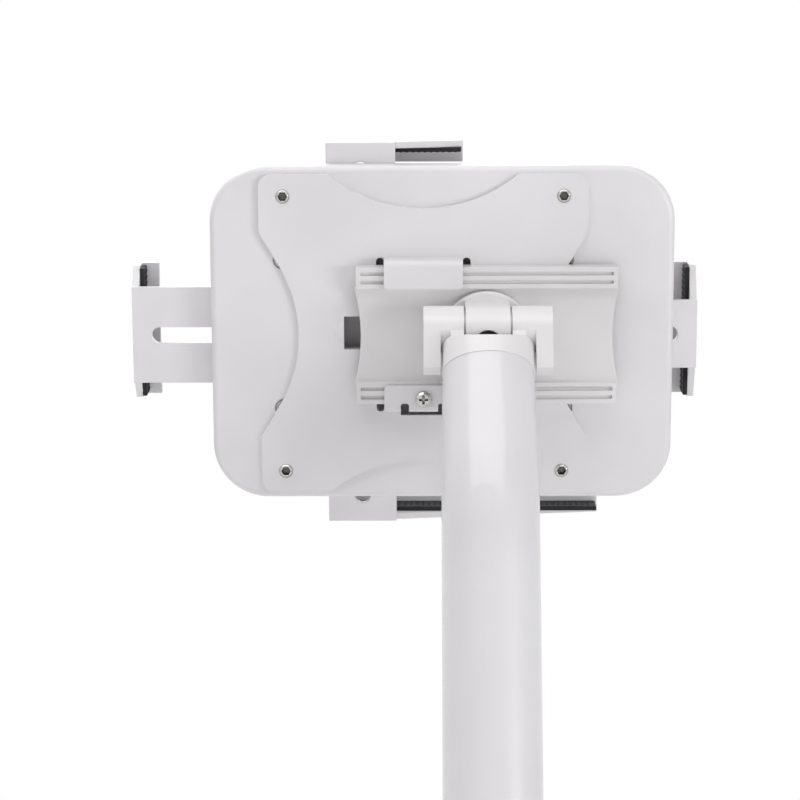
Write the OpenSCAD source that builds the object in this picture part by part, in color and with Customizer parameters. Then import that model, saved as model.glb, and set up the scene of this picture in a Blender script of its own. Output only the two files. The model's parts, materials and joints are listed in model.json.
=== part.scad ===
// Desk stand for a tablet: a bent tube column with a tilt, swivel and slide head.
// Millimetres, +Z up, origin under the middle of the base, the reader sits at -Y.
// The head is drawn in its own frame: x runs across it, y up its face and z out of its back.

/* [Base] */
// Width of the base plate
base_w = 200; // [160:5:280]
// Depth of the base plate
base_d = 180; // [160:5:260]
// Thickness of the base plate
base_t = 8; // [6:0.5:12]
// Corner radius of the base plate
base_corner_r = 20; // [8:1:40]
// Eased edge round the top of the base plate
base_edge = 1.5; // [0.5:0.1:3]
// Thickness of the soft sheet under the base
pad_t = 1.5; // [1:0.1:3]
// Step from the edge of the plate to the soft sheet
pad_inset = 2; // [1:0.5:5]
// Spacing of the desk bolts across the base
desk_bolt_x = 160; // [120:1:170]
// Spacing of the desk bolts along the base
desk_bolt_y = 140; // [120:1:150]
// Diameter of the desk bolt holes
desk_bolt_d = 6.5; // [5:0.1:8]
// Diameter of the countersinks over the desk bolts
desk_sink_d = 13; // [10:0.5:15]

/* [Column] */
// Outside diameter of the column tube
column_d = 33.2; // [32:0.1:38]
// Outside diameter of the neck at its top
neck_d = 31.8; // [31:0.1:32]
// Wall of the column tube
column_wall = 2; // [1.5:0.1:2.2]
// Distance of the column behind the middle of the base
column_y = 50; // [40:1:60]
// Height of the corner of the bend
bend_height = 234.7; // [200:0.1:320]
// Radius of the bend
bend_r = 80; // [60:1:110]
// Lean of the neck towards the reader
neck_lean = 18; // [10:1:25]
// Length of the neck, from the corner of the bend to the tilt axis
neck_len = 65; // [62:1:90]
// Height of the plug in the foot of the column
foot_h = 18; // [12:1:25]
// Height of the cable outlet above the base plate
outlet_z = 36; // [34:1:80]
// Bore of the cable grommet
outlet_d = 10; // [7:0.5:10]
// Diameter of the hole that holds the grommet
outlet_hole_d = 16; // [14:0.5:17]

/* [Tilt hinge] */
// Recline of the head at rest
head_recline = 23; // [15:1:35]
// Diameter of the hinge barrel
barrel_d = 16.6; // [15:0.1:17]
// Width across the two ears of the hinge
yoke_w = 45; // [42:0.5:50]
// Width of the lug between the ears
lug_w = 15.6; // [15:0.1:16]
// Thickness of the friction washers beside the lug
tilt_washer_t = 0.5; // [0.4:0.05:0.8]
// Diameter of the hinge screws
hinge_pin_d = 6; // [5:0.1:6.5]
// Taper of the tail under each ear
tail_taper = 20; // [12:1:24]
// Length of the tail under each ear
tail_len = 17; // [14:0.5:18]
// Width of the tail under each ear
tail_w = 5.9; // [3:0.1:5.9]
// Depth of the spigot that goes down the neck
spigot_len = 46; // [30:1:48]
// Bore of the cable way through the spigot
spigot_bore_d = 14; // [10:0.5:18]
// Step from the tube to the collar over the spigot
collar_step = 0.3; // [0:0.05:0.8]
// Length of the collar
collar_len = 9.7; // [8:0.1:12]
// Slope of the bevel on the back of the collar
collar_bevel = 29.5; // [15:0.5:40]
// Distance of the hinge axis above the swivel axis
hinge_rise = 4.7; // [3.5:0.1:6]
// Distance of the hinge axis behind the mounting face
hinge_back = 20; // [20:0.1:26]
// Bore of the cable way through the head
cable_d = 9.6; // [7:0.1:9.6]

/* [Swivel and rail] */
// Length of the rail plate
rail_len = 93; // [80:1:120]
// Height over the two rails
rail_h = 49.4; // [48:0.1:60]
// Height of one rail
rail_band = 7.8; // [7:0.1:9]
// Thickness of the rails
rail_t = 7; // [6:0.1:7]
// Distance from the mounting face to the web
web_gap = 2.6; // [2.4:0.1:3]
// Thickness of the web
web_t = 2.2; // [1.8:0.1:2.3]
// Hollow of the ends of the web
web_hollow = 2.2; // [1:0.1:4]
// Width of the grooves in the rails
groove_w = 1.2; // [0.8:0.1:1.8]
// Depth of the grooves in the rails
groove_depth = 1.2; // [0.5:0.1:2]
// Diameter of the swivel disc
disc_d = 32.4; // [30:0.1:32.6]
// Thickness of the swivel disc
disc_t = 3; // [2.5:0.1:3.2]
// Diameter of the swivel bush
bush_d = 16; // [14:0.1:18]
// Diameter of the flange of the swivel bush
bush_flange_d = 21; // [19:0.5:26]
// Thickness of the flange of the swivel bush
bush_flange_t = 1.1; // [0.8:0.1:1.2]
// Thickness of the friction washer under the swivel disc
swivel_washer_t = 0.5; // [0.4:0.05:0.6]

/* [Mounting plate] */
// Spacing of the four corner screws
vesa_pitch = 100; // [75:25:100]
// Width of the mounting plate
plate_w = 117.4; // [112:0.1:124]
// Height of the mounting plate
plate_h = 115.6; // [112:0.1:120]
// Corner radius of the mounting plate
plate_corner_r = 4.5; // [2:0.5:8]
// Thickness of the steel sheet
sheet_t = 2; // [1.5:0.1:2]
// Radius of the hollow sides
side_hollow_r = 50; // [45:1:60]
// Half width of the plate at its waist
waist_x = 44.8; // [42:0.1:48]
// Radius of the hollow top and bottom
top_hollow_r = 54; // [45:1:65]
// Half height of the plate at its middle
waist_y = 45.7; // [40:0.1:50]
// Width of the hook and of the clamp tab
hook_w = 28; // [20:1:34]
// Reach of the hook over the rail
hook_reach = 10.3; // [8:0.1:10.8]
// Reach of the clamp tab over the rail
tab_reach = 9.9; // [8:0.1:10.8]
// Gap between the hook or the tab and the edge of its rail
hook_gap = 0.8; // [0.3:0.1:1.2]
// Radius of the corners at the tips of the hook and the tab
hook_tip_r = 1.6; // [0.5:0.1:3]
// Width of the relief slots beside the hook
relief_w = 2.9; // [2:0.1:4]
// Width of the springy tongue in the middle of the clamp tab
tongue_w = 10.4; // [8:0.1:14]
// Width of the slots beside the tongue
tongue_slot = 3; // [2:0.1:4]
// Length of the cable window
window_w = 57; // [40:1:60]
// Height of the cable window
window_h = 12; // [10:0.5:14]
// Radius of the guide dimple beside the window
dimple_r = 3.8; // [2.5:0.1:4]
// Slide of the head from the middle of the rail at rest
head_shift = 22.5; // [0:0.5:40]
// Drop of the clamp's middle below the middle of the rail
clamp_drop = 0.8; // [0:0.1:2]

/* [Tablet clamp] */
// Width of the rear cover
cover_w = 166.3; // [155:0.1:180]
// Height of the rear cover
cover_h = 121; // [116:1:124]
// Offset of the cover from the middle of the mounting plate
cover_offset = 6.7; // [4:0.1:8]
// Corner radius of the cover
cover_r = 20; // [12:1:26]
// Depth of the cover
cover_depth = 10; // [8:0.5:14]
// Wall of the cover
cover_wall = 2; // [1.8:0.1:2.2]
// Rounding of the cover's outer edge
cover_edge = 2.4; // [1:0.1:4]
// Distance of the cover screws from the middle, across
post_x = 50.5; // [46:0.5:54]
// Distance of the cover screws from the middle, up
post_y = 27; // [25:0.5:32]
// Thickness of the front plate
front_t = 2; // [1.6:0.1:3]
// Thickness of the soft strips on the front plate
front_pad_t = 1.5; // [1.3:0.1:3]
// Room for the tablet's thickness
tablet_t = 8.6; // [6:0.1:14]

/* [Clamp arms] */
// Thickness of the arms
arm_t = 2.5; // [2:0.1:3]
// Width of the left arm
left_arm_w = 35.4; // [28:0.1:36]
// Width of the other arms
arm_w = 25; // [18:1:28]
// Distance from the middle to the outer face of the left arm
left_reach = 106; // [98:0.5:125]
// Distance from the middle to the outer face of the right arm
right_reach = 99.5; // [98:0.5:120]
// Distance from the middle to the outer face of the top arm
top_reach = 68; // [67:0.5:80]
// Distance from the middle to the outer face of the bottom arm
bottom_reach = 72; // [70:0.5:85]
// Height of the side arms' centre line
side_arm_y = -2; // [-3:0.5:0]
// Offset of the top and bottom arms
end_arm_x = -22.5; // [-26:0.5:-20]
// Width of the slots in the arms
slot_w = 5.8; // [5.6:0.1:7]
// Length of the side flanges
side_flange = 49; // [40:1:60]
// Length of the lip that holds the tablet's edge
lip_reach = 6; // [3:0.5:8]
// Thickness of the rubber in the arms
arm_pad_t = 2; // [1:0.1:3]
// Diameter of the guide screws
guide_d = 5; // [4:0.1:5.2]

/* [Hidden] */
$fn = 64;

white_paint = "gainsboro";
warm_white = "whitesmoke";
rubber_black = "#2a2a2c";
bright_steel = "silver";
dark_steel = "#5a5a5e";

cut = 1;
fit = 0.05;
run_fit = 0.08;
gap = 0.2;
clear = 0.3;
hair = 0.03;
lap = 1;

// Base and column levels
base_top = pad_t + base_t;
column_r = column_d / 2;
neck_r = neck_d / 2;
neck_bore_r = neck_r - column_wall;
bend_tangent = bend_r * tan(neck_lean / 2);
tilt_y = column_y - neck_len * sin(neck_lean);
tilt_z = bend_height + neck_len * cos(neck_lean);
foot_r = column_r - column_wall - fit;
foot_bolt_d = 5;
foot_bolt_head_d = 9.2;
foot_bolt_head_h = 2.8;
foot_bolt_ring = 8.5;
foot_bolt_count = 3;
grommet_lip = 1.4;

// Hinge
barrel_r = barrel_d / 2;
ear_in = lug_w / 2 + tilt_washer_t + 2 * fit;
ear_out = yoke_w / 2;
collar_r = neck_r + collar_step;
collar_top = barrel_r;
tube_top = collar_top + collar_len;
collar_roof = 4.2;
spigot_top = collar_top + collar_roof;
spigot_r = neck_bore_r - fit;
cheek_x = neck_r - 2.8;
cheek_y = 7;
bevel_start = neck_r - 5.8;
pin_r = hinge_pin_d / 2;
pin_head_r = pin_r + 2.2;
pin_head_h = 4;
pin_tip = cable_d / 2 + 0.4;
pin_hex_r = 2.6;

// Head levels, measured out of the back of the mounting plate
web_top = web_gap + web_t;
disc_bottom = web_top + swivel_washer_t;
disc_top = disc_bottom + disc_t;
lug_low = cable_d / 2 + 1.2;
lug_room = 0.8;
lug_nose_r = 2.5;
cable_rise = 1;
bush_r = bush_d / 2;
bush_spigot_r = bush_r - 1;
rail_in = rail_h / 2 - rail_band;
rail_ridge = (rail_band - 2 * groove_w) / 3;
groove_stop = 1.6;
hook_in_z = rail_t + clear;
hook_out_z = hook_in_z + sheet_t;
hook_root = rail_h / 2 + hook_gap;
hook_top = hook_root + sheet_t;
hook_bend_r = 0.6;
relief_end = hook_top + 0.5;
tongue_half = tongue_w / 2 + tongue_slot;
tongue_gap = 2.7;
lock_r = 2;
lock_head_r = 2.75;
lock_y = 2.4 - rail_h / 2;
tongue_root = lock_y - 1.4;
lock_head_h = 1.9;
dimple_h = 1.2;

// Head levels, measured forward from the mounting plate
cover_back = -sheet_t;
cover_rim = cover_back - cover_depth;
arm_back = cover_rim - gap;
arm_front = arm_back - arm_t;
front_back = arm_front - gap;
front_face = front_back - front_t;
pad_face = front_face - front_pad_t;
lip_back = pad_face - tablet_t;
lip_face = lip_back - arm_t;

// Screws of the head
vesa_r = 2;
vesa_head_r = 2.5;
vesa_head_h = 1;
vesa_rise = 0.5;
vesa_hex_r = 1.7;
vesa_hex_depth = 2.2;
vesa_nut_r = 4;
vesa_nut_h = 3;
post_r = 4;
post_thread_r = 1.5;
post_screw_len = 5;
post_sink_r = 3.3;
post_sink_h = 1;
post_head_r = 2.7;
post_hex_r = 2;
front_head_r = 2.9;
front_head_h = 1.5;
front_hex_r = 1.5;
guide_r = guide_d / 2;
guide_head_r = 4.2;
guide_head_h = 1.1;
strip_w = 4;
strip_inset = 0.4;
guide_washer_r = 6.5;
guide_washer_t = 1;
guide_nut_r = 4.6;
guide_nut_h = 3.5;
guide_len = guide_head_h + front_t + arm_t + 2 * gap + guide_washer_t + guide_nut_h;
side_guide = 62;
end_guide = 49.5;

// Travel and inner ends of the arms
left_travel = 30;
right_travel = 25;
top_travel = 24;
bottom_travel = 21;
left_inner = 20;
right_inner = 30;
top_inner = 20;
bottom_inner = 23.5;
slot_margin = 7;
side_rise = 5;
bottom_rise = 11;
top_flange = 37;
bottom_flange = 87.5;

// Placing

module in_neck() {
    translate([0, tilt_y, tilt_z]) rotate([neck_lean, 0, 0]) children();
}

module in_head() {
    translate([0, tilt_y, tilt_z]) rotate([90 + head_recline, 0, 180])
        translate([0, -hinge_rise, -hinge_back]) children();
}

module in_clamp() {
    in_head() translate([-head_shift, -clamp_drop, 0]) children();
}

// From the middle of the clamp back up to the middle of the rail
module on_rail() {
    translate([0, clamp_drop, 0]) children();
}

module along_x() {
    rotate([90, 0, 90]) children();
}

module at_corners(dx, dy) {
    for (sx = [-1, 1], sy = [-1, 1]) translate([sx * dx, sy * dy, 0]) children();
}

// Shared shapes

module rounded_rect(w, h, r) {
    square([w - 2 * r, h], center = true);
    square([w, h - 2 * r], center = true);
    at_corners(w / 2 - r, h / 2 - r) circle(r);
}

// Half section of a slab whose upper edge is rounded
module slab_section(r, t, edge) {
    square([r - edge, t]);
    square([r, t - edge]);
    translate([r - edge, t - edge]) circle(edge, $fn = 32);
}

// A slab with round corners and one rounded edge, made of revolved corners and straight runs
module soft_slab(w, h, r, t, edge) {
    at_corners(w / 2 - r, h / 2 - r) rotate_extrude() slab_section(r, t, edge);
    for (side = [-1, 1]) {
        translate([side * (w / 2 - r), 0, 0]) rotate([90, 0, side > 0 ? 0 : 180])
            linear_extrude(h - 2 * r, center = true) slab_section(r, t, edge);
        translate([0, side * (h / 2 - r), 0]) rotate([90, 0, side * 90])
            linear_extrude(w - 2 * r, center = true) slab_section(r, t, edge);
    }
    translate([r - w / 2, r - h / 2, 0]) cube([w - 2 * r, h - 2 * r, t]);
}

// A slot along x, from one tip to the other
module slot_shape(from, to, w) {
    translate([from + w / 2, -w / 2]) square([to - from - w, w]);
    translate([from + w / 2, 0]) circle(w / 2);
    translate([to - w / 2, 0]) circle(w / 2);
}

// A countersunk screw with its head flush at z = 0 and its tip at z = -len
module sunk_screw(head_r, head_h, shank_r, len, hex_r) {
    difference() {
        union() {
            translate([0, 0, -head_h]) cylinder(h = head_h, r1 = shank_r, r2 = head_r);
            translate([0, 0, -len]) cylinder(h = len - head_h + fit, r = shank_r);
        }
        translate([0, 0, -0.6 * head_h]) cylinder(h = head_h, r = hex_r, $fn = 6);
    }
}

module sunk_hole(head_r, head_h, shank_r, len) {
    translate([0, 0, -head_h]) cylinder(h = head_h, r1 = shank_r + fit, r2 = head_r + fit);
    translate([0, 0, -len]) cylinder(h = len + cut, r = shank_r + fit);
    cylinder(h = cut, r = head_r + fit);
}

module hex_nut(r, h, hole_r) {
    difference() {
        cylinder(h = h, r = r, $fn = 6);
        translate([0, 0, -cut]) cylinder(h = h + 2 * cut, r = hole_r);
    }
}

// Base

module at_foot_bolts() {
    for (i = [0:foot_bolt_count - 1]) translate([0, column_y, 0])
        rotate([0, 0, 90 + i * 360 / foot_bolt_count]) translate([foot_bolt_ring, 0, 0]) children();
}

module base_pad() {
    color(rubber_black) difference() {
        linear_extrude(pad_t)
            rounded_rect(base_w - 2 * pad_inset, base_d - 2 * pad_inset, base_corner_r - pad_inset);
        at_corners(desk_bolt_x / 2, desk_bolt_y / 2) translate([0, 0, -cut])
            cylinder(h = pad_t + 2 * cut, d = desk_bolt_d);
    }
}

module base_plate() {
    color(white_paint) difference() {
        translate([0, 0, pad_t]) soft_slab(base_w, base_d, base_corner_r, base_t, base_edge);
        at_corners(desk_bolt_x / 2, desk_bolt_y / 2) {
            translate([0, 0, pad_t - cut]) cylinder(h = base_t + 2 * cut, d = desk_bolt_d);
            translate([0, 0, base_top - (desk_sink_d - desk_bolt_d) / 2])
                cylinder(h = (desk_sink_d - desk_bolt_d) / 2, d1 = desk_bolt_d, d2 = desk_sink_d);
            translate([0, 0, base_top]) cylinder(h = cut, d = desk_sink_d);
        }
        at_foot_bolts() {
            translate([0, 0, pad_t - cut]) cylinder(h = base_t + 2 * cut, d = foot_bolt_d + 2 * fit);
            translate([0, 0, pad_t - cut])
                cylinder(h = foot_bolt_head_h + cut, d = foot_bolt_head_d + 2 * fit);
        }
    }
}

module base_bolts() {
    color(dark_steel) at_foot_bolts() difference() {
        union() {
            translate([0, 0, pad_t]) cylinder(h = foot_bolt_head_h, d = foot_bolt_head_d);
            translate([0, 0, pad_t]) cylinder(h = base_t + foot_h - 4, d = foot_bolt_d);
        }
        translate([0, 0, pad_t - cut]) cylinder(h = 1.6 + cut, r = 1.8, $fn = 6);
    }
}

module column_foot() {
    color(bright_steel) difference() {
        translate([0, column_y, base_top]) cylinder(h = foot_h, r = foot_r);
        translate([0, column_y, base_top - cut]) cylinder(h = foot_h + 2 * cut, r = foot_bolt_ring - 5);
        at_foot_bolts() translate([0, 0, base_top - cut])
            cylinder(h = foot_h + 2 * cut, d = foot_bolt_d + 2 * fit);
    }
}

// Column

// Solid rod along the column: the upright, the bend and the neck that tapers to its top.
// The bend is a hair fuller than the runs that lap into it, and over is drawn past both ends.
module column_path(r, top_r, over) {
    translate([0, column_y, base_top - over])
        cylinder(h = bend_height - bend_tangent - base_top + over + lap, r = r);
    translate([0, column_y - bend_r, bend_height - bend_tangent]) rotate([0, 90, 0]) rotate([0, 0, 90])
        rotate_extrude(angle = neck_lean) translate([bend_r, 0]) circle(r + hair);
    in_neck() translate([0, 0, bend_tangent - neck_len - lap])
        cylinder(h = neck_len - bend_tangent - tube_top + lap + over, r1 = r, r2 = top_r);
}

module column_tube() {
    color(warm_white) difference() {
        column_path(column_r, neck_r, 0);
        column_path(column_r - column_wall, neck_bore_r, cut);
        translate([0, column_y, base_top + outlet_z]) rotate([-90, 0, 0])
            cylinder(h = column_d, d = outlet_hole_d);
    }
}

module cable_grommet() {
    flange_r = outlet_hole_d / 2 + grommet_lip;
    bore_r = column_r - column_wall;
    color(rubber_black) translate([0, column_y, base_top + outlet_z]) difference() {
        rotate([-90, 0, 0]) translate([0, 0, bore_r - 3]) cylinder(h = column_wall + 4.6, r = flange_r);
        rotate([-90, 0, 0]) cylinder(h = column_d, d = outlet_d);
        difference() {
            cylinder(h = 2 * flange_r + cut, r = column_r + fit, center = true);
            cylinder(h = 2 * flange_r + 2 * cut, r = bore_r - fit, center = true);
            rotate([-90, 0, 0]) cylinder(h = column_d, d = outlet_hole_d - 2 * fit);
        }
    }
}

module column_cap() {
    color(warm_white) in_neck() difference() {
        translate([0, 0, -tube_top]) cylinder(h = collar_len, r = collar_r);
        translate([0, 0, -tube_top - cut]) cylinder(h = tube_top - spigot_top + cut, r = neck_bore_r);
        translate([-cheek_x - gap, -cheek_y - gap, -tube_top])
            cube([2 * (cheek_x + gap), 2 * (cheek_y + gap), tube_top]);
        // A notch on the reader's side, where the lug swings past
        translate([-lug_w / 2 - clear, -cheek_y - gap - lug_room, -tube_top])
            cube([lug_w + 2 * clear, cheek_y, tube_top]);
        translate([-column_d, bevel_start, -collar_top]) rotate([-collar_bevel, 0, 0])
            cube([2 * column_d, column_d, column_r]);
    }
}

// Tilt hinge

// Side view of the tail under an ear, which starts inside the barrel and tapers down the neck
module tail_section() {
    root_r = barrel_r - 0.1;
    root_y = root_r * cos(tail_taper);
    root_z = root_r * sin(tail_taper);
    tail_y = root_y - (tail_len - root_z) * tan(tail_taper);
    polygon([[root_y, -root_z], [tail_y, -tail_len], [-tail_y, -tail_len], [-root_y, -root_z]]);
}

module hinge_yoke() {
    color(white_paint) in_neck() difference() {
        union() {
            for (side = [0, 180]) rotate([0, 0, side]) {
                translate([ear_in, 0, 0]) rotate([0, 90, 0]) cylinder(h = ear_out - ear_in, r = barrel_r);
                translate([ear_out - tail_w, 0, 0]) along_x() linear_extrude(tail_w) tail_section();
                translate([ear_in, -cheek_y, -spigot_top]) cube([cheek_x - ear_in, 2 * cheek_y, spigot_top]);
            }
            translate([0, 0, -spigot_len]) cylinder(h = spigot_len - spigot_top, r = spigot_r);
        }
        translate([0, 0, -spigot_len - cut]) cylinder(h = spigot_len, d = spigot_bore_d);
        translate([-ear_out - cut, 0, 0]) rotate([0, 90, 0]) cylinder(h = yoke_w + 2 * cut, r = pin_r + fit);
        for (side = [0, 180]) rotate([0, 0, side]) translate([ear_out - pin_head_h, 0, 0]) rotate([0, 90, 0])
            cylinder(h = pin_head_h + cut, r = pin_head_r + fit);
    }
}

module hinge_screws() {
    color(bright_steel) in_neck() for (side = [0, 180]) rotate([0, 0, side]) difference() {
        union() {
            translate([pin_tip, 0, 0]) rotate([0, 90, 0]) cylinder(h = ear_out - pin_tip - 1, r = pin_r);
            translate([ear_out - pin_head_h, 0, 0]) rotate([0, 90, 0])
                cylinder(h = pin_head_h - 0.4, r = pin_head_r);
        }
        translate([ear_out - 2.8, 0, 0]) rotate([0, 90, 0]) cylinder(h = 3, r = pin_hex_r, $fn = 6);
    }
}

module tilt_washers() {
    color(dark_steel) in_neck() for (side = [0, 180]) rotate([0, 0, side]) translate([lug_w / 2 + fit, 0, 0])
        rotate([0, 90, 0]) difference() {
            cylinder(h = tilt_washer_t, r = barrel_r - 0.5);
            translate([0, 0, -cut]) cylinder(h = tilt_washer_t + 2 * cut, r = pin_r + fit);
        }
}

// Side view of the lug, from the disc to the hinge barrel
module lug_section() {
    translate([hinge_rise, hinge_back]) circle(barrel_r);
    translate([-lug_low, disc_bottom + cut])
        square([hinge_rise + barrel_r + lug_low, hinge_back - disc_bottom - cut]);
    translate([lug_nose_r - lug_low, hinge_back]) circle(lug_nose_r, $fn = 32);
}

module tilt_knuckle() {
    color(warm_white) in_head() difference() {
        union() {
            translate([0, 0, disc_bottom]) cylinder(h = disc_t - 0.5, d = disc_d);
            translate([0, 0, disc_top - 0.5]) cylinder(h = 0.5, d1 = disc_d, d2 = disc_d - 1);
            translate([-lug_w / 2, 0, 0]) along_x() linear_extrude(lug_w) lug_section();
        }
        translate([0, 0, disc_bottom - cut]) cylinder(h = disc_t + cut, r = bush_spigot_r + fit);
        translate([0, cable_rise, disc_bottom]) cylinder(h = hinge_back + barrel_r, d = cable_d);
        for (side = [-1, 1]) translate([side * (lug_w / 2 + cut), hinge_rise, hinge_back])
            rotate([0, -side * 90, 0]) cylinder(h = lug_w / 2 + cut - pin_tip + 0.2, r = pin_r + run_fit);
    }
}

// Swivel and rail

module swivel_bush() {
    color(bright_steel) in_head() difference() {
        union() {
            translate([0, 0, web_gap - bush_flange_t]) cylinder(h = bush_flange_t - fit, d = bush_flange_d);
            translate([0, 0, web_gap - bush_flange_t])
                cylinder(h = disc_bottom - web_gap + bush_flange_t, r = bush_r);
            translate([0, 0, disc_bottom - cut]) cylinder(h = disc_t - 0.4 + cut, r = bush_spigot_r);
        }
        cylinder(h = disc_top + cut, d = cable_d);
    }
}

module swivel_washer() {
    color(dark_steel) in_head() translate([0, 0, web_top]) difference() {
        cylinder(h = swivel_washer_t - fit, r = disc_d / 2 - 0.4);
        translate([0, 0, -cut]) cylinder(h = swivel_washer_t + 2 * cut, r = bush_r + run_fit);
    }
}

// Outline of the web, with hollow ends
module web_section() {
    chord = rail_in;
    end_x = rail_len / 2 + 0.6;
    hollow_r = (chord * chord + web_hollow * web_hollow) / (2 * web_hollow);
    difference() {
        square([2 * end_x, 2 * rail_in + cut], center = true);
        for (side = [-1, 1]) translate([side * (end_x - web_hollow + hollow_r), 0])
            circle(hollow_r, $fn = 128);
    }
}

module rail() {
    difference() {
        translate([-rail_len / 2, rail_in, 0]) cube([rail_len, rail_band, rail_t]);
        for (i = [1, 2]) translate([groove_stop - rail_len / 2, rail_in + i * rail_ridge + (i - 1) * groove_w,
            rail_t - groove_depth]) cube([rail_len - 2 * groove_stop, groove_w, groove_depth + cut]);
    }
}

module rail_plate() {
    color(white_paint) in_head() difference() {
        union() {
            translate([0, 0, web_gap]) linear_extrude(web_t) web_section();
            rail();
            mirror([0, 1, 0]) rail();
        }
        cylinder(h = rail_t, r = bush_r + run_fit);
    }
}

// Mounting plate

module plate_outline() {
    side_x = waist_x + side_hollow_r;
    half = plate_w / 2;
    difference() {
        rounded_rect(plate_w, plate_h, plate_corner_r);
        for (side = [-1, 1]) {
            translate([side * side_x, 0]) circle(side_hollow_r, $fn = 128);
            translate([0, side * (waist_y + top_hollow_r)]) circle(top_hollow_r, $fn = 128);
            for (up = [-1, 1]) polygon([[side * half, up * 37], [side * (half - 5), up * 29],
                [side * (half + 1), up * 28], [side * (half + 1), up * 37]]);
        }
        on_rail() translate([-window_w / 2, -window_h / 2]) square([window_w, window_h]);
        // The windows that the hook and the tab were bent out of, and the relief slots beside them
        on_rail() lanced_window(hook_reach);
        on_rail() mirror([0, 1]) lanced_window(tab_reach);
        for (side = [-1, 1], turn = [0, 180]) rotate(turn)
            translate([side * (hook_w + relief_w) / 2, 0]) rotate(90)
                slot_shape(rail_in, relief_end, relief_w);
    }
}

module lanced_window(reach) {
    bent_len = reach + hook_in_z;
    translate([-hook_w / 2, hook_root - bent_len]) square([hook_w, bent_len]);
}

// Inside of a bend in the sheet: all that lies below z and inside y, with the corner rounded
module bend_side(y, z, r, low_y, low_z) {
    translate([low_y, low_z]) square([y - r - low_y, z - low_z]);
    translate([low_y, low_z]) square([y - low_y, z - r - low_z]);
    translate([y - r, z - r]) circle(r, $fn = 32);
}

// Section of the hook that a bent strip of the sheet makes round a rail
module hook_section(reach) {
    tip_y = hook_top - reach - cut;
    difference() {
        bend_side(hook_top, hook_out_z, hook_bend_r + sheet_t, tip_y, -sheet_t);
        bend_side(hook_root, hook_in_z, hook_bend_r, tip_y - cut, -sheet_t - cut);
    }
}

// The hook, trimmed to its width and to the round corners of its tip
module hook(reach) {
    trim_h = reach + 2 * hook_tip_r;
    intersection() {
        translate([-hook_w / 2 - cut, 0, 0]) along_x() linear_extrude(hook_w + 2 * cut) hook_section(reach);
        translate([0, hook_top - reach + trim_h / 2, -sheet_t - cut])
            linear_extrude(sheet_t + hook_out_z + 2 * cut) rounded_rect(hook_w, trim_h, hook_tip_r);
    }
}

// Slots beside the tongue of the clamp tab, seen from behind, and the room round its foot
module tongue_cuts() {
    foot_y = -hook_top - tongue_gap;
    slot_top = tongue_root - tongue_slot / 2;
    translate([0, 0, hook_in_z - cut]) linear_extrude(sheet_t + 2 * cut) for (side = [-1, 1])
        translate([side * (tongue_w + tongue_slot) / 2, 0]) {
            translate([0, slot_top]) circle(tongue_slot / 2);
            translate([-tongue_slot / 2, foot_y]) square([tongue_slot, slot_top - foot_y]);
        }
    translate([-tongue_half, foot_y, -sheet_t - cut])
        cube([2 * tongue_half, slot_top - foot_y, hook_in_z + sheet_t + cut]);
}

module mounting_plate() {
    color(white_paint) in_clamp() difference() {
        union() {
            translate([0, 0, -sheet_t]) linear_extrude(sheet_t) plate_outline();
            on_rail() hook(hook_reach);
            on_rail() mirror([0, 1, 0]) hook(tab_reach);
            on_rail() intersection() {
                translate([-window_w / 2, 0, dimple_h - dimple_sphere_r()]) sphere(dimple_sphere_r());
                translate([-window_w / 2 - 2 * dimple_r, -2 * dimple_r, -sheet_t / 2])
                    cube([2 * dimple_r, 4 * dimple_r, sheet_t + dimple_h]);
            }
        }
        // The tab's tongue stands free of the sheet at its foot, so that the screw can press it
        on_rail() tongue_cuts();
        on_rail() translate([0, lock_y, hook_in_z - cut]) cylinder(h = sheet_t + 2 * cut, r = lock_r + fit);
        at_corners(vesa_pitch / 2, vesa_pitch / 2) sunk_hole(vesa_head_r, vesa_head_h, vesa_r, sheet_t + cut);
    }
}

// Radius of the sphere whose cap is the dimple
function dimple_sphere_r() = (dimple_r * dimple_r + dimple_h * dimple_h) / (2 * dimple_h);

module mounting_screws() {
    len = sheet_t + cover_wall + vesa_nut_h;
    color(bright_steel) in_clamp() at_corners(vesa_pitch / 2, vesa_pitch / 2) difference() {
        union() {
            cylinder(h = vesa_rise, r1 = vesa_head_r, r2 = vesa_head_r - vesa_rise);
            translate([0, 0, -vesa_head_h]) cylinder(h = vesa_head_h, r1 = vesa_r, r2 = vesa_head_r);
            translate([0, 0, -len]) cylinder(h = len - vesa_head_h + fit, r = vesa_r);
        }
        translate([0, 0, vesa_rise - vesa_hex_depth])
            cylinder(h = vesa_hex_depth + cut, r = vesa_hex_r, $fn = 6);
    }
}

module mounting_nuts() {
    color(bright_steel) in_clamp() at_corners(vesa_pitch / 2, vesa_pitch / 2)
        translate([0, 0, cover_back - cover_wall - vesa_nut_h]) hex_nut(vesa_nut_r, vesa_nut_h, vesa_r + fit);
}

module lock_screw() {
    color(bright_steel) in_clamp() on_rail() translate([0, lock_y, 0]) difference() {
        union() {
            translate([0, 0, rail_t + gap]) cylinder(h = hook_out_z - rail_t, r = lock_r);
            translate([0, 0, hook_out_z]) cylinder(h = lock_head_h - 0.6, r = lock_head_r);
            translate([0, 0, hook_out_z + lock_head_h - 0.6])
                cylinder(h = 0.6, r1 = lock_head_r, r2 = lock_head_r - 0.7);
        }
        for (turn = [0, 90]) rotate([0, 0, turn]) translate([-1.6, -0.4, hook_out_z + lock_head_h - 1.1])
            cube([3.2, 0.8, 2]);
    }
}

// Tablet clamp

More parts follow.
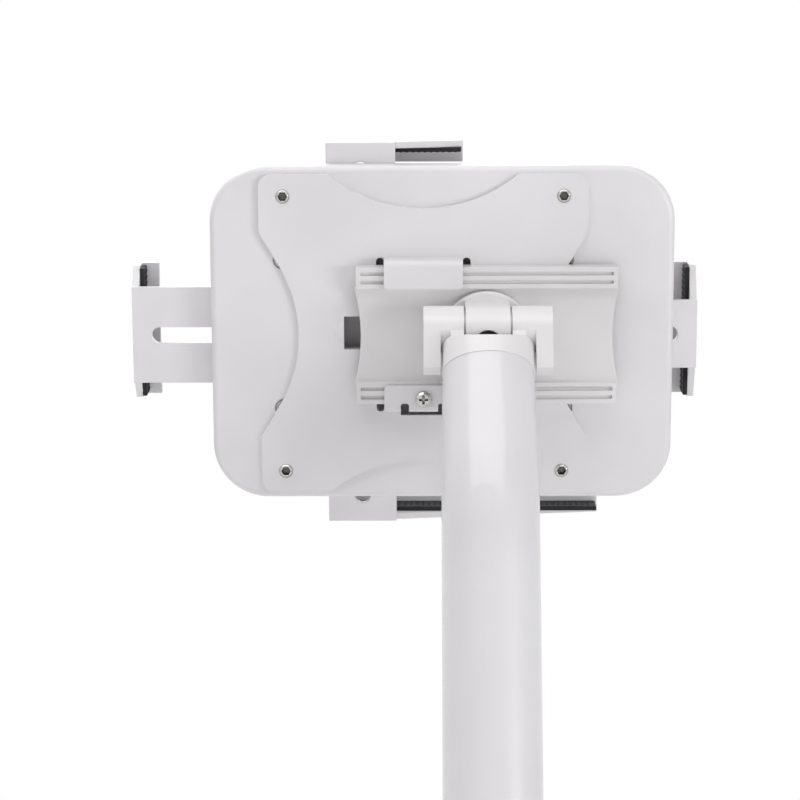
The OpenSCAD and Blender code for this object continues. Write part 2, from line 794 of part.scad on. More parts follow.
module rear_cover() {
    inner_r = cover_r - cover_wall;
    room_h = hook_top + tongue_gap + clear - rail_in;
    color(white_paint) in_clamp() difference() {
        translate([cover_offset, 0, cover_rim])
            soft_slab(cover_w, cover_h, cover_r, cover_depth, cover_edge);
        translate([cover_offset, 0, cover_rim - cut]) linear_extrude(cover_depth - cover_wall + cut)
            rounded_rect(cover_w - 2 * cover_wall, cover_h - 2 * cover_wall, inner_r);
        on_rail() translate([-window_w / 2, -window_h / 2, cover_rim])
            cube([window_w, window_h, cover_depth + cut]);
        at_corners(vesa_pitch / 2, vesa_pitch / 2) translate([0, 0, cover_rim])
            cylinder(h = cover_depth + cut, r = vesa_r + fit);
        at_corners(post_x, post_y) {
            translate([0, 0, cover_back - post_sink_h]) cylinder(h = post_sink_h + cut, r = post_sink_r);
            translate([0, 0, cover_rim]) cylinder(h = cover_depth, r = post_thread_r + fit);
        }
        // Windows behind those of the mounting plate
        for (turn = [0, 180]) on_rail() rotate(turn) translate([0, rail_in + room_h / 2, cover_rim])
            linear_extrude(cover_depth + cut)
                rounded_rect(2 * clear + 2 * relief_w + hook_w, room_h, relief_w / 2);
    }
}

module cover_screws() {
    color(bright_steel) in_clamp() at_corners(post_x, post_y) translate([0, 0, cover_back - post_sink_h])
        difference() {
            union() {
                cylinder(h = post_sink_h - 0.1, r = post_head_r);
                translate([0, 0, -post_screw_len]) cylinder(h = post_screw_len + fit, r = post_thread_r);
            }
            translate([0, 0, 0.2]) cylinder(h = post_sink_h, r = post_hex_r, $fn = 6);
        }
}

module spacer_posts() {
    color(bright_steel) in_clamp() at_corners(post_x, post_y) translate([0, 0, front_back]) difference() {
        cylinder(h = cover_back - cover_wall - front_back, r = post_r);
        translate([0, 0, -cut]) cylinder(h = cover_depth + arm_t + cut, r = post_thread_r + fit);
    }
}

module front_outline() {
    translate([cover_offset, 0])
        rounded_rect(cover_w - 2 * cover_wall, cover_h - 2 * cover_wall, cover_r - cover_wall);
}

// Guide screw places, one to each arm
module at_guides() {
    translate([-side_guide, side_arm_y, 0]) children();
    translate([side_guide, side_arm_y, 0]) children();
    translate([end_arm_x, end_guide, 0]) children();
    translate([end_arm_x, -end_guide, 0]) children();
}

module front_plate() {
    color(white_paint) in_clamp() difference() {
        translate([0, 0, front_face]) linear_extrude(front_t) front_outline();
        at_corners(post_x, post_y) translate([0, 0, front_face]) mirror([0, 0, 1])
            sunk_hole(front_head_r, front_head_h, post_thread_r, front_t + cut);
        at_guides() translate([0, 0, front_face - cut]) cylinder(h = front_t + 2 * cut, r = guide_r + fit);
    }
}

module front_screws() {
    color(dark_steel) in_clamp() at_corners(post_x, post_y) translate([0, 0, front_face + fit])
        mirror([0, 0, 1])
            sunk_screw(front_head_r, front_head_h, post_thread_r, post_screw_len, front_hex_r);
}

module front_pads() {
    pad_run = cover_w - 50;
    color(rubber_black) in_clamp() for (side = [-1, 1])
        translate([cover_offset, side * (cover_h / 2 - cover_wall - strip_inset - strip_w / 2), pad_face])
            linear_extrude(front_pad_t) rounded_rect(pad_run, strip_w, strip_w / 2 - fit);
}

module guide_screws() {
    color(bright_steel) in_clamp() at_guides() difference() {
        union() {
            translate([0, 0, front_face - guide_head_h]) cylinder(h = guide_head_h, r = guide_head_r);
            translate([0, 0, front_face - guide_head_h]) cylinder(h = guide_len, r = guide_r);
        }
        translate([0, 0, front_face - guide_head_h - cut]) cylinder(h = 1.8, r = 1.5, $fn = 6);
    }
}

module guide_washers() {
    color(dark_steel) in_clamp() at_guides() translate([0, 0, arm_back + 0.1]) difference() {
        cylinder(h = guide_washer_t, r = guide_washer_r);
        translate([0, 0, -cut]) cylinder(h = guide_washer_t + 2 * cut, r = guide_r + fit);
    }
}

module guide_nuts() {
    color(bright_steel) in_clamp() at_guides() translate([0, 0, arm_back + 0.1 + guide_washer_t])
        hex_nut(guide_nut_r, guide_nut_h - 0.4, guide_r + fit);
}

// Clamp arms, drawn reaching along +x with their back at z = arm_back

// Outline of the flange seen from outside: as wide as the arm at its back edge, and from low to high
// where it holds the tablet, with a slant of the given rise on each side that grows
module flange_shape(w, low, high, rise) {
    polygon([[-w / 2, arm_back], [w / 2, arm_back], [w / 2, arm_front], [high, arm_front - rise],
        [high, lip_face], [low, lip_face], [low, arm_front - (low < -w / 2 ? rise : 0)],
        [-w / 2, arm_front]]);
}

module clamp_arm(reach, inner, w, low, high, rise, slot_from) {
    difference() {
        union() {
            translate([inner, -w / 2, arm_front]) cube([reach - 2 - inner, w, arm_t]);
            translate([reach - arm_t, 0, 0]) along_x() linear_extrude(arm_t)
                flange_shape(w, low, high, rise);
            translate([reach - arm_t - lip_reach, low, lip_face])
                cube([lip_reach + arm_t - 1, high - low, arm_t]);
        }
        translate([0, 0, arm_front - cut]) linear_extrude(arm_t + 2 * cut)
            slot_shape(slot_from, reach - slot_margin, slot_w);
    }
}

// Rubber on the inside of a flange and lip
module arm_rubber(reach, low, high) {
    margin = 0.8;
    translate([reach - arm_t - arm_pad_t, low + margin, lip_back])
        cube([arm_pad_t, high - low - 2 * margin, front_face - 1 - lip_back]);
}

module left_arm_place() {
    in_clamp() translate([0, side_arm_y, 0]) rotate([0, 0, 180]) children();
}

module right_arm_place() {
    in_clamp() translate([0, side_arm_y, 0]) children();
}

module top_arm_place() {
    in_clamp() translate([end_arm_x, 0, 0]) rotate([0, 0, 90]) children();
}

module bottom_arm_place() {
    in_clamp() translate([end_arm_x, 0, 0]) rotate([0, 0, -90]) children();
}

module left_arm() {
    color(white_paint) left_arm_place() clamp_arm(left_reach, left_inner, left_arm_w, -side_flange / 2,
        side_flange / 2, side_rise, side_guide - left_travel - slot_w / 2 - clear);
}

module left_arm_pad() {
    color(rubber_black) left_arm_place() arm_rubber(left_reach, -side_flange / 2, side_flange / 2);
}

module right_arm() {
    color(white_paint) right_arm_place() clamp_arm(right_reach, right_inner, arm_w, -side_flange / 2,
        side_flange / 2, side_rise, side_guide - right_travel - slot_w / 2 - clear);
}

module right_arm_pad() {
    color(rubber_black) right_arm_place() arm_rubber(right_reach, -side_flange / 2, side_flange / 2);
}

module top_arm() {
    color(white_paint) top_arm_place() clamp_arm(top_reach, top_inner, arm_w, -top_flange, arm_w / 2,
        side_rise, end_guide - top_travel - slot_w / 2 - clear);
}

module top_arm_pad() {
    color(rubber_black) top_arm_place() arm_rubber(top_reach, -top_flange, arm_w / 2);
}

module bottom_arm() {
    color(white_paint) bottom_arm_place() clamp_arm(bottom_reach, bottom_inner, arm_w, -arm_w / 2,
        bottom_flange, bottom_rise, end_guide - bottom_travel - slot_w / 2 - clear);
}

module bottom_arm_pad() {
    color(rubber_black) bottom_arm_place() arm_rubber(bottom_reach, -arm_w / 2, bottom_flange);
}

base_pad();
base_plate();
base_bolts();
column_foot();
column_tube();
cable_grommet();
column_cap();
hinge_yoke();
hinge_screws();
tilt_washers();
tilt_knuckle();
swivel_bush();
swivel_washer();
rail_plate();
mounting_plate();
mounting_screws();
mounting_nuts();
lock_screw();
rear_cover();
cover_screws();
spacer_posts();
front_plate();
front_screws();
front_pads();
guide_screws();
guide_washers();
guide_nuts();
left_arm();
left_arm_pad();
right_arm();
right_arm_pad();
top_arm();
top_arm_pad();
bottom_arm();
bottom_arm_pad();
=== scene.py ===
# %% [markdown]
# A desk stand for a tablet, seen from behind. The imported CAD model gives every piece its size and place.
# This script gives the pieces their surfaces: rounded sheet edges, one seamless bent tube, studded rubber and
# the coats and platings of the real stand. Lengths are in metres, and +Y is the side that the photograph shows.

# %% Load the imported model
import json
import math

import bmesh
import bpy
import numpy as np
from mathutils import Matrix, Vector


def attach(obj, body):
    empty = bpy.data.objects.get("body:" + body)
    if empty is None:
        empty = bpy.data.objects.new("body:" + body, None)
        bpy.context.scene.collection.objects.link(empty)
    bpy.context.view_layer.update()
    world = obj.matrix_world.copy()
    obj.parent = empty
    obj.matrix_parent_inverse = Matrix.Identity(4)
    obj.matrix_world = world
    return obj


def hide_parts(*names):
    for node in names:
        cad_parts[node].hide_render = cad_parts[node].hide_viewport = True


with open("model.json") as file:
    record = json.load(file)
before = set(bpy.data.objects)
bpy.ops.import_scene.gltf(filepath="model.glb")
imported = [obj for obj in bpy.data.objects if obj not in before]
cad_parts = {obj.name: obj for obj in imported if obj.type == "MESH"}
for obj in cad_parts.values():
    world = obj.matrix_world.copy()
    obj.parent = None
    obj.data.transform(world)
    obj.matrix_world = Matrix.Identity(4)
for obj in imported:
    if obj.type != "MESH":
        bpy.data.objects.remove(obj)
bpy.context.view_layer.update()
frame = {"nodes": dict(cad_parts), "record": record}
record = frame["record"]
body_of_node = {node: body for body, nodes in record["behaviour"]["bodies"].items() for node in nodes}
MM = 0.001

# %% [markdown]
# The camera stands behind the stand, a little lower than the head, and looks up at it. Its place, turn and
# focal length were worked out from the corner screws, the rails, the arms and the tube in the photograph. A long
# lens keeps the plate nearly square. A track-to constraint would do the same, but a plain turn is easier to read.

# %% Camera
IMAGE_PX = 800
FOCAL_PX = 2367
SENSOR_MM = 36
YAW, PITCH = math.radians(0.54), math.radians(11.43)
CAMERA_PLACE = (0.0231, 0.8378, 0.1080)


def new_object(name, data):
    """An object made of its data and linked to the scene."""
    made = bpy.data.objects.new(name, data)
    bpy.context.scene.collection.objects.link(made)
    return made


def look_along(thing, direction):
    """Turns a camera or a lamp to face along a direction, with its top up."""
    thing.rotation_mode = "QUATERNION"
    thing.rotation_quaternion = direction.to_track_quat("-Z", "Y")


camera_data = bpy.data.cameras.new("back_view")
camera_data.sensor_width = SENSOR_MM
camera_data.lens = FOCAL_PX / IMAGE_PX * SENSOR_MM
camera = new_object("back_view", camera_data)
looking = Vector((math.sin(YAW) * math.cos(PITCH), -math.cos(YAW) * math.cos(PITCH), math.sin(PITCH)))
camera.location = CAMERA_PLACE
look_along(camera, looking)
bpy.context.scene.camera = camera
print("lens", round(camera_data.lens, 1), "mm")

# %% [markdown]
# Colours are written as the eye sees them, in sRGB hex, while the renderer counts light. One function turns the
# one into the other. A second one adds a shader node with its settings and links, and a third blends two
# colours, so that each finish below is a short list of nodes.

# %% Colour and node helpers
def linear(hex_colour):
    """sRGB hex to linear light: c / 12.92 for dark values, ((c + 0.055) / 1.055) ** 2.4 above."""
    srgb = np.array([int(hex_colour[i:i + 2], 16) for i in (1, 3, 5)]) / 255
    light = np.where(srgb <= 0.04045, srgb / 12.92, ((srgb + 0.055) / 1.055) ** 2.4)
    return (*light.tolist(), 1.0)


def add(tree, kind, inputs, **settings):
    """Adds a node. Each input is a value or the output socket that feeds it."""
    made = tree.nodes.new("ShaderNode" + kind)
    for name, value in settings.items():
        setattr(made, name, value)
    for name, value in inputs.items():
        if isinstance(value, bpy.types.NodeSocket):
            tree.links.new(value, made.inputs[name])
        else:
            made.inputs[name].default_value = value
    return made


def blend(tree, factor, first, second):
    """A colour that goes from the first to the second as the factor goes from 0 to 1."""
    return add(tree, "Mix", {"Factor": factor, "A": first, "B": second}, data_type="RGBA").outputs["Result"]


def new_finish(name):
    """An empty material with its tree and its place coordinates, scaled so that 1 is a millimetre."""
    material = bpy.data.materials.new(name)
    material.use_nodes = True
    tree = material.node_tree
    tree.nodes.clear()
    place = add(tree, "TexCoord", {}).outputs["Object"]
    millimetres = add(tree, "Mapping", {"Vector": place, "Scale": (1 / MM, 1 / MM, 1 / MM)}).outputs["Vector"]
    return material, tree, millimetres


print("the sheet's white is", [round(c, 3) for c in linear("#e1dfe1")])

# %% [markdown]
# The white parts are powder coated: dry polyester paint is baked on and flows out to a satin skin with a soft
# orange peel. The peel is too fine to show at this distance, so it is drawn 1.4 mm across instead of under 1 mm.
# The same coat lies a little differently on sheet, on the drawn tube, on the castings and on the extruded rail,
# so each of them has its own colour, gloss and grain. The tube is the glossiest: under its thin clear coat it
# mirrors the lamps as one bright stripe.

# %% Powder coats
DRIFT_MM = 38


def powder_coat(name, pale, deep, gloss, peel_mm, peel_depth_mm, clear_coat, stretch=(1.0, 1.0, 1.0)):
    """White paint: a slow drift between two close whites, an orange peel in roughness and bump, and a clear
    coat of a given weight and roughness."""
    material, tree, mm = new_finish(name)
    drift = add(tree, "TexNoise", {"Vector": mm, "Scale": 1 / DRIFT_MM, "Detail": 2.0, "Roughness": 0.5})
    steps = add(tree, "MapRange", {"Value": drift.outputs["Fac"], "From Min": 0.35, "From Max": 0.65})
    white = blend(tree, steps.outputs["Result"], linear(deep), linear(pale))
    grain = add(tree, "Mapping", {"Vector": mm, "Scale": stretch}).outputs["Vector"]
    peel = add(tree, "TexNoise", {"Vector": grain, "Scale": 1 / peel_mm, "Detail": 3.0, "Roughness": 0.45})
    rough = add(tree, "MapRange", {"Value": peel.outputs["Fac"], "To Min": gloss - 0.05, "To Max": gloss + 0.07})
    bump = add(tree, "Bump", {"Height": peel.outputs["Fac"], "Strength": 0.6, "Distance": peel_depth_mm * MM})
    coat = add(tree, "BsdfPrincipled", {
        "Base Color": white, "Roughness": rough.outputs["Result"],
        "Normal": bump.outputs["Normal"], "IOR": 1.5, "Coat Weight": clear_coat[0], "Coat Roughness": clear_coat[1],
    })
    add(tree, "OutputMaterial", {"Surface": coat.outputs["BSDF"]})
    return material


SATIN, GLOSSY = (0.25, 0.18), (0.75, 0.04)
sheet_coat = powder_coat("powder_coated_steel_sheet", "#e1dfe1", "#dcdadc", 0.42, 1.4, 0.012, SATIN)
tube_coat = powder_coat("powder_coated_steel_tube", "#dcdadd", "#d8d6d9", 0.40, 1.6, 0.0015, GLOSSY)
cast_coat = powder_coat("powder_coated_zinc_casting", "#e5e3e4", "#e0dedf", 0.34, 1.5, 0.010, SATIN)
rail_coat = powder_coat(
    "powder_coated_aluminium_extrusion", "#dfddde", "#d8d6d7", 0.40, 1.2, 0.010, SATIN, stretch=(0.06, 1.0, 1.0))
print("four white coats")

# %% [markdown]
# The rubber strips and the grommet are moulded EPDM: matt black with a dusty bloom and a fine spark-eroded
# grain that breaks up the light. A noise in the roughness and the bump gives the grain, and a slow one the bloom.

# %% Rubber
BLOOM_MM, RUBBER_GRAIN_MM = 6, 0.5

rubber, tree, mm = new_finish("moulded_epdm_rubber")
bloom = add(tree, "TexNoise", {"Vector": mm, "Scale": 1 / BLOOM_MM, "Detail": 4.0})
dusty = blend(tree, bloom.outputs["Fac"], linear("#1b1b1d"), linear("#2b2b2e"))
grain = add(tree, "TexNoise", {"Vector": mm, "Scale": 1 / RUBBER_GRAIN_MM, "Detail": 3.0})
rough = add(tree, "MapRange", {"Value": grain.outputs["Fac"], "To Min": 0.62, "To Max": 0.86})
bump = add(tree, "Bump", {"Height": grain.outputs["Fac"], "Strength": 0.7, "Distance": 0.03 * MM})
skin = add(tree, "BsdfPrincipled", {
    "Base Color": dusty, "Roughness": rough.outputs["Result"], "Normal": bump.outputs["Normal"],
    "IOR": 1.52, "Specular IOR Level": 0.35,
})
add(tree, "OutputMaterial", {"Surface": skin.outputs["BSDF"]})
print(rubber.name)

# %% [markdown]
# Three finishes cover the small steel pieces. Nuts, posts, bushes and the tilt washers are zinc plated, a soft
# grey with a faint cloudy grain. The screws that show at the back are nickel plated and bright. The base bolts,
# the front screws and the other washers are blackened in hot oxide, which leaves steel dark with a silky sheen.
# All three are metals, so their colour is the colour of the gloss. In each of them, shade is painted into the
# colour in sockets and grooves.

# %% Platings
RECESS_MM = 4


def plating(name, bright, dull, recess_shade, gloss, cloud_mm, grain_mm):
    """A plated metal: two tones in slow clouds, with a fine turned grain in its roughness and bump. Shade is
    painted in: the colour darkens towards a recess colour where ambient occlusion finds sockets and grooves a few
    millimetres wide."""
    material, tree, mm = new_finish(name)
    clouds = add(tree, "TexNoise", {"Vector": mm, "Scale": 1 / cloud_mm, "Detail": 3.0})
    tone = blend(tree, clouds.outputs["Fac"], linear(dull), linear(bright))
    grain = add(tree, "TexNoise", {"Vector": mm, "Scale": 1 / grain_mm, "Detail": 2.0})
    rough = add(tree, "MapRange", {"Value": grain.outputs["Fac"], "To Min": gloss - 0.06, "To Max": gloss + 0.08})
    bump = add(tree, "Bump", {"Height": grain.outputs["Fac"], "Strength": 0.35, "Distance": 0.006 * MM})
    # Painted shade: ambient occlusion blends the colour towards the recess colour in sockets and grooves
    openness = add(tree, "AmbientOcclusion", {"Distance": RECESS_MM * MM})
    shade_mask = add(tree, "MapRange", {"Value": openness.outputs["AO"], "From Min": 0.3, "From Max": 0.75})
    shaded_tone = blend(tree, shade_mask.outputs["Result"], linear(recess_shade), tone)
    metal = add(tree, "BsdfPrincipled", {
        "Base Color": shaded_tone, "Metallic": 1.0, "Roughness": rough.outputs["Result"],
        "Normal": bump.outputs["Normal"],
    })
    add(tree, "OutputMaterial", {"Surface": metal.outputs["BSDF"]})
    return material


# The third colour of each plating is the painted shade for its sockets and grooves
zinc = plating("zinc_plated_steel", "#c6c9cc", "#a9adb2", "#8b8f93", 0.34, 3.0, 0.3)
nickel = plating("nickel_plated_steel", "#d6d4d0", "#b4b2af", "#4a4948", 0.13, 2.0, 0.4)
black_oxide = plating("black_oxide_steel", "#4b4a4c", "#323236", "#1c1c1e", 0.40, 1.5, 0.3)
print("three platings")

# %% [markdown]
# Real sheet and castings have no knife edges. A copy of each CAD piece is merged, its flat faces are joined and
# its edges are rounded by a bevel of the size that the making leaves: 0.3 to 0.5 mm on sheet and rail, up to
# 0.8 mm on the castings and less on small screws.
# Without it no edge would catch the light, and a piece would look like a drawing.

# %% Rounded copies of the CAD pieces
FLAT_ANGLE = math.radians(0.3)
SHARP_ANGLE = math.radians(28)
MERGE = 0.002 * MM
BEVEL_SEGMENTS = 2


def place_piece(name, mesh, finish, node):
    """Puts a mesh in the scene in place of a CAD node, on that node's body and in its material slot."""
    piece = new_object(name, mesh)
    mesh.materials.clear()
    mesh.materials.append(finish)
    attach(piece, body_of_node[node])
    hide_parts(node)
    return piece


def round_edges(piece, edge_mm):
    """Rounds the sharp edges, and keeps the flat faces flat to the eye with weighted normals."""
    bevel = piece.modifiers.new("rounded_edges", "BEVEL")
    bevel.width = edge_mm * MM
    bevel.segments = BEVEL_SEGMENTS
    bevel.limit_method = "ANGLE"
    bevel.angle_limit = SHARP_ANGLE
    bevel.miter_outer = "MITER_ARC"
    bevel.use_clamp_overlap = True
    weighted = piece.modifiers.new("flat_faces", "WEIGHTED_NORMAL")
    weighted.keep_sharp = True


def merged_copy(node):
    """The node's mesh with its loose triangles merged and its flat faces joined."""
    mesh = frame["nodes"][node].data.copy()
    work = bmesh.new()
    work.from_mesh(mesh)
    bmesh.ops.remove_doubles(work, verts=work.verts, dist=MERGE)
    bmesh.ops.dissolve_limit(work, angle_limit=FLAT_ANGLE, verts=work.verts, edges=work.edges)
    work.to_mesh(mesh)
    work.free()
    mesh.shade_smooth()
    return mesh


EDGES_MM = {
    sheet_coat: {
        "base_plate": 0.4, "mounting_plate": 0.5, "rear_cover": 0.4, "front_plate": 0.3, "left_arm": 0.4,
        "right_arm": 0.4, "top_arm": 0.4, "bottom_arm": 0.4,
    },
    cast_coat: {"hinge_yoke": 0.8, "tilt_knuckle": 0.5, "column_cap": 0.5},
    rail_coat: {"rail_plate": 0.4},
    rubber: {"base_pad": 0.3, "cable_grommet": 0.4, "front_pads": 0.4},
    zinc: {
        "column_foot": 0.3, "hinge_screws": 0.25, "swivel_bush": 0.2, "mounting_nuts": 0.2, "spacer_posts": 0.2,
        "guide_screws": 0.2, "guide_nuts": 0.2, "tilt_washers": 0.08,
    },
    nickel: {"mounting_screws": 0.2, "lock_screw": 0.15, "cover_screws": 0.15},
    black_oxide: {"base_bolts": 0.25, "swivel_washer": 0.08, "front_screws": 0.15, "guide_washers": 0.15},
}
for finish, edges in EDGES_MM.items():
    for node, edge_mm in edges.items():
        round_edges(place_piece(node + "_rounded", merged_copy(node), finish, node), edge_mm)
    print(finish.name, "on", ", ".join(edges))

# %% [markdown]
# The column is one drawn tube, bent cold over a former, so its surface runs from foot to neck without a seam.
# A circle carried along the centre line gives that exactly: up, round an 80 mm bend and along the neck, where
# the tube is drawn in a little. The inner wall is the same circle two millimetres smaller. The neck is measured
# from the corner of the bend to the hinge, and the tube ends short of it by NECK_TOP. All lengths here are in mm.

# %% Bent column
COLUMN_Y, COLUMN_FOOT, BEND_HEIGHT, BEND_R, NECK_LEN = 50.0, 9.5, 234.7, 80.0, 65.0
NECK_LEAN = math.radians(18)
NECK_TOP = 18.0
COLUMN_R, NECK_R, COLUMN_WALL = 16.6, 15.9, 2.0
RING_STEPS, LINE_STEPS = 96, 24


def column_line(steps):
    """Centre line in mm: rows of (y, z, lean, share of the neck). Straight up to the bend, where
    y = y0 - R (1 - cos a) and z = z0 + R sin a for a lean of a, then straight along the neck."""
    tangent = BEND_R * math.tan(NECK_LEAN / 2)
    start = BEND_HEIGHT - tangent
    up = np.linspace(COLUMN_FOOT, start, steps, endpoint=False)
    upright = np.column_stack([np.full(steps, COLUMN_Y), up, np.zeros(steps), np.zeros(steps)])
    lean = np.linspace(0, NECK_LEAN, steps, endpoint=False)
    bend = np.column_stack([
        COLUMN_Y - BEND_R * (1 - np.cos(lean)), start + BEND_R * np.sin(lean), lean, np.zeros(steps),
    ])
    run = np.linspace(tangent, NECK_LEN - NECK_TOP, steps)
    neck = np.column_stack([
        COLUMN_Y - run * math.sin(NECK_LEAN), BEND_HEIGHT + run * math.cos(NECK_LEAN), np.full(steps, NECK_LEAN),
        (run - tangent) / (run[-1] - tangent),
    ])
    return np.vstack([upright, bend, neck])


def column_wall(line, inset):
    """Points of a wall: centre + r (cos f, sin f cos a, sin f sin a), for a turn f and a lean a."""
    y, z, lean, share = (line[:, [i]] for i in range(4))
    radius = COLUMN_R + (NECK_R - COLUMN_R) * share - inset
    turn = np.linspace(0, 2 * math.pi, RING_STEPS, endpoint=False)[None, :]
    across = radius * np.cos(turn)
    back = radius * np.sin(turn)
    return np.stack([across, y + back * np.cos(lean), z + back * np.sin(lean)], axis=-1)


def closed_skin(name, rings):
    """A mesh of rings joined one to the next, and the last to the first."""
    count, steps, _ = rings.shape
    index = np.arange(count * steps).reshape(count, steps)
    after = np.roll(index, -1, axis=0)
    quads = np.stack([index, np.roll(index, -1, axis=1), np.roll(after, -1, axis=1), after], axis=-1)
    mesh = bpy.data.meshes.new(name)
    mesh.from_pydata((rings.reshape(-1, 3) * MM).tolist(), [], quads.reshape(-1, 4).tolist())
    mesh.validate()
    return mesh


line = column_line(LINE_STEPS)
outer = column_wall(line, 0.0)
inner = column_wall(line, COLUMN_WALL)[::-1]
column_mesh = closed_skin("bent_column", np.concatenate([outer, inner]))
print("tube wall of", len(column_mesh.polygons), "faces")

# %% [markdown]
# The cable leaves the tube through a hole low at the back. The hole is cut with a boolean and the result is
# kept as plain mesh, so the piece carries nothing but its edge rounding.

# %% Cable outlet in the column
OUTLET_Z, OUTLET_R = 45.5, 8.0
OUTLET_FROM, OUTLET_TO = 55, 75
ROD_STEPS, ROD_TIP = 64, 0.001
COLUMN_EDGE_MM = 0.35


def cutter_rod(radius, low, high, z):
    """A rod along +Y as rings of (r cos f, y, z + r sin f), closed by rings of almost no size."""
    turn = np.linspace(0, 2 * math.pi, ROD_STEPS, endpoint=False)
    rings = [(ROD_TIP, low), (radius, low), (radius, high), (ROD_TIP, high)]
    points = [np.column_stack([r * np.cos(turn), np.full(ROD_STEPS, y), z + r * np.sin(turn)]) for r, y in rings]
    return np.stack(points)


def face_outwards(mesh):
    """Turns every face of a closed mesh outwards."""
    work = bmesh.new()
    work.from_mesh(mesh)
    bmesh.ops.recalc_face_normals(work, faces=work.faces)
    work.to_mesh(mesh)
    work.free()


rod = cutter_rod(OUTLET_R, OUTLET_FROM, OUTLET_TO, OUTLET_Z)
cutter = new_object("outlet_cutter", closed_skin("outlet_cutter", rod))
blank = new_object("column_blank", column_mesh)
for spare in (cutter, blank):
    face_outwards(spare.data)
cut = blank.modifiers.new("outlet", "BOOLEAN")
cut.operation = "DIFFERENCE"
cut.object = cutter
cut.solver = "EXACT"
graph = bpy.context.evaluated_depsgraph_get()
drilled = bpy.data.meshes.new_from_object(blank.evaluated_get(graph))
for spare in (blank, cutter):
    bpy.data.objects.remove(spare)
drilled.name = "bent_column"
drilled.shade_smooth()
column = place_piece("bent_column", drilled, tube_coat, "column_tube")
round_edges(column, COLUMN_EDGE_MM)
print("column of", len(drilled.polygons), "faces")

# %% [markdown]
# Where the arms touch the tablet they are lined with rubber that carries rows of small round studs, which give
# under the clamp's pressure. Each strip is one surface: a height over the strip's face, lowered at the edges
# and raised in a dome at every stud. The strip's size is read from its CAD node, in the head's own directions.

# %% Studded rubber in the arms
# The head leans back by 23 degrees, so these hold its sine and cosine
HEAD_UP = np.array([0, 0.390731, 0.920505])
HEAD_OUT = np.array([0, 0.920505, -0.390731])
HEAD_ACROSS = np.array([-1.0, 0, 0])
STUD_PITCH, STUD_R, STUD_H = 2.2, 0.62, 0.42
STUD_FLATNESS = 0.6
GRID_MM = 0.16
PAD_EDGE = 0.3
STUD_SHARP_ANGLE = math.radians(50)


def stud_height(along, across, length, width):
    """Height in mm over the strip's CAD face, never above 0: a dome (1 - d^2 / r^2) ^ 0.6 at each stud, less the
    rounded edge."""
    near_along = (along - length / 2) / STUD_PITCH
    near_across = (across - width / 2) / STUD_PITCH
    d_along = (near_along - np.round(near_along)) * STUD_PITCH
    d_across = (near_across - np.round(near_across)) * STUD_PITCH
    dome = np.clip(1 - (d_along ** 2 + d_across ** 2) / STUD_R ** 2, 0, 1) ** STUD_FLATNESS
    inset = np.minimum(np.minimum(along, length - along), np.minimum(across, width - across))
    dome = np.where(stud_fits(along, across, length, width, d_along, d_across), dome, 0)
    edge = PAD_EDGE - np.sqrt(np.clip(PAD_EDGE ** 2 - np.clip(PAD_EDGE - inset, 0, PAD_EDGE) ** 2, 0, None))
    return -STUD_H + STUD_H * dome - edge


def stud_fits(along, across, length, width, d_along, d_across):
    """True where the nearest stud lies wholly on the strip."""
    middle_along, middle_across = along - d_along, across - d_across
    room = STUD_R + PAD_EDGE
    return ((middle_along > room) & (middle_along < length - room)
            & (middle_across > room) & (middle_across < width - room))


def studded_strip(node, face):
    """The strip as one closed mesh: a grid for the studded face, its rim dropped to the flat back."""
    points = np.empty(len(frame["nodes"][node].data.vertices) * 3)
    frame["nodes"][node].data.vertices.foreach_get("co", points)
    points = points.reshape(-1, 3) / MM
    axes = {"across": (HEAD_UP, HEAD_OUT, HEAD_ACROSS), "up": (HEAD_ACROSS, HEAD_OUT, HEAD_UP)}[face[1:]]
    sign = 1 if face[0] == "+" else -1
    low = np.array([(points @ axis).min() for axis in axes])
    high = np.array([(points @ axis).max() for axis in axes])
    length, width, thick = high - low
    along = np.linspace(0, length, int(length / GRID_MM) + 1)
    across = np.linspace(0, width, int(width / GRID_MM) + 1)
    a, b = np.meshgrid(along, across, indexing="ij")
    height = thick + stud_height(a, b, length, width)
    base = low[2] if sign > 0 else high[2]
    top = [low[0] + a, low[1] + b, base + sign * height]
    floor = [low[0] + a, low[1] + b, np.full_like(a, base)]
    front = sum(value[..., None] * axis for value, axis in zip(top, axes))
    back = sum(value[..., None] * axis for value, axis in zip(floor, axes))
    rows, columns = a.shape
    index = np.arange(rows * columns).reshape(rows, columns)
    rim = np.concatenate([index[:-1, 0], index[-1, :-1], index[:0:-1, -1], index[0, :0:-1]])
    quads = np.stack([index[:-1, :-1], index[1:, :-1], index[1:, 1:], index[:-1, 1:]], axis=-1).reshape(-1, 4)
    ring = rows * columns + np.arange(len(rim))
    sides = np.stack([rim, ring, np.roll(ring, -1), np.roll(rim, -1)], axis=-1)
    places = np.vstack([front.reshape(-1, 3), back.reshape(-1, 3)[rim]]) * MM
    mesh = bpy.data.meshes.new(node)
    mesh.from_pydata(places.tolist(), [], quads.tolist() + sides.tolist() + [ring.tolist()])
    face_outwards(mesh)
    mesh.shade_smooth()
    mesh.set_sharp_from_angle(angle=STUD_SHARP_ANGLE)
    return place_piece(node.replace("_pad", "_studs"), mesh, rubber, node)


STUDDED_FACES = {"left_arm_pad": "+across", "right_arm_pad": "-across", "top_arm_pad": "-up", "bottom_arm_pad": "+up"}
for node, face in STUDDED_FACES.items():
    strip = studded_strip(node, face)
    print(strip.name, len(strip.data.polygons), "faces")

# %% [markdown]
# The stand is photographed in a white studio. A wide softbox hangs above and behind the camera and draws the
# bright stripe down the leaning neck. A small one stands to the right, just off the floor, so every raised edge
# throws a narrow shadow to the left. One high on the left lifts the side of the column and the top edges, and
# one beyond the stand lights the reader's side. The white walls do the rest. The background is white for the
# camera and for reflections, and lights nothing.

# %% Studio
HEAD = Vector((0.01, 0.02, 0.30))
WALLS, BACKDROP = 0.315, 1.0
FLOOR_HALF = 4.0
FIBRE_MM = 60


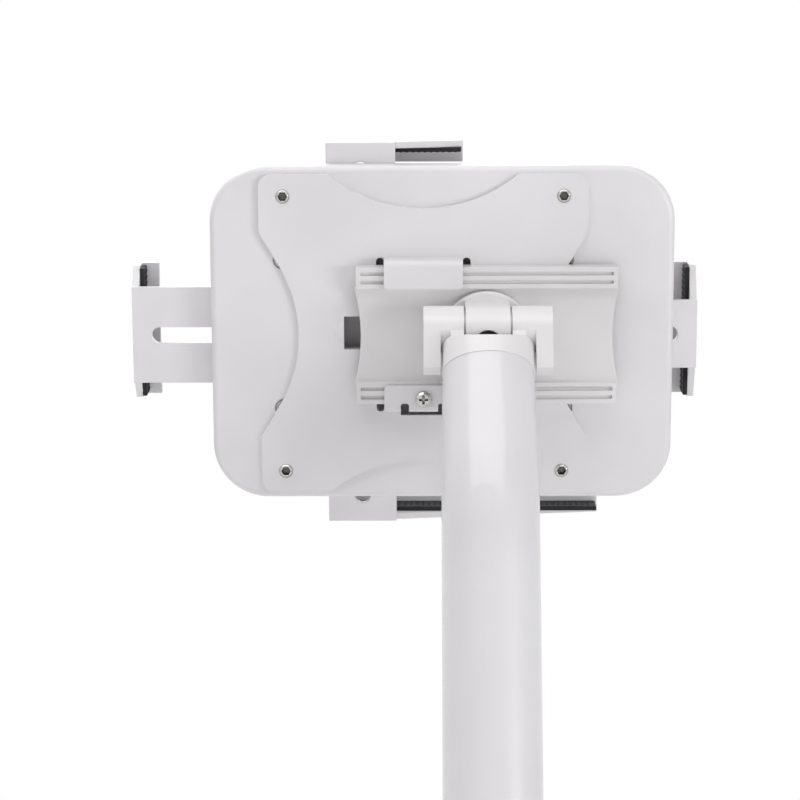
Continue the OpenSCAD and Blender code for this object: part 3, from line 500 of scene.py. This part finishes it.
def softbox(name, azimuth, elevation, distance, size, watts):
    """An area lamp aimed at the head, from an azimuth to the camera's right and an elevation in degrees."""
    a, e = math.radians(azimuth), math.radians(elevation)
    lamp = bpy.data.lights.new(name, "AREA")
    lamp.shape = "RECTANGLE"
    lamp.size, lamp.size_y = size
    lamp.energy = watts
    box = new_object(name, lamp)
    away = Vector((-math.sin(a) * math.cos(e), math.cos(a) * math.cos(e), math.sin(e)))
    box.location = HEAD + away * distance
    look_along(box, -away)


softbox("top_softbox", -10, 40, 1.3, (2.0, 0.8), 8.4)
softbox("side_softbox", 50, -10.4, 1.2, (0.5, 0.16), 3.7)
softbox("left_softbox", -100, 64, 1.3, (1.0, 0.6), 11.0)
softbox("reader_softbox", 170, 35, 1.6, (1.2, 1.0), 5)

world = bpy.data.worlds.new("white_studio")
bpy.context.scene.world = world
world.use_nodes = True
tree = world.node_tree
tree.nodes.clear()
rays = add(tree, "LightPath", {})
seen = add(tree, "Math", {0: rays.outputs["Is Camera Ray"], 1: rays.outputs["Is Glossy Ray"]}, operation="MAXIMUM")
seen = add(tree, "Math", {0: seen.outputs[0], 1: rays.outputs["Is Transmission Ray"]}, operation="MAXIMUM")
walls = add(tree, "Background", {"Color": linear("#ffffff"), "Strength": WALLS})
backdrop = add(tree, "Background", {"Color": linear("#ffffff"), "Strength": BACKDROP})
both = add(tree, "MixShader", {0: seen.outputs[0], 1: walls.outputs[0], 2: backdrop.outputs[0]})
add(tree, "OutputWorld", {"Surface": both.outputs[0]})

floor_mesh = bpy.data.meshes.new("studio_floor")
corners = np.array([[-1, -1, 0], [1, -1, 0], [1, 1, 0], [-1, 1, 0]]) * FLOOR_HALF
floor_mesh.from_pydata(corners.tolist(), [], [[0, 1, 2, 3]])
floor_finish, tree, mm = new_finish("matt_white_paper")
fibre = add(tree, "TexNoise", {"Vector": mm, "Scale": 1 / FIBRE_MM, "Detail": 4.0})
paper = add(tree, "BsdfDiffuse", {"Color": blend(tree, fibre.outputs["Fac"], linear("#f4f4f4"), linear("#f8f8f8"))})
add(tree, "OutputMaterial", {"Surface": paper.outputs["BSDF"]})
floor_mesh.materials.append(floor_finish)
floor = new_object("studio_floor", floor_mesh)
bpy.context.scene.view_settings.view_transform = "Standard"
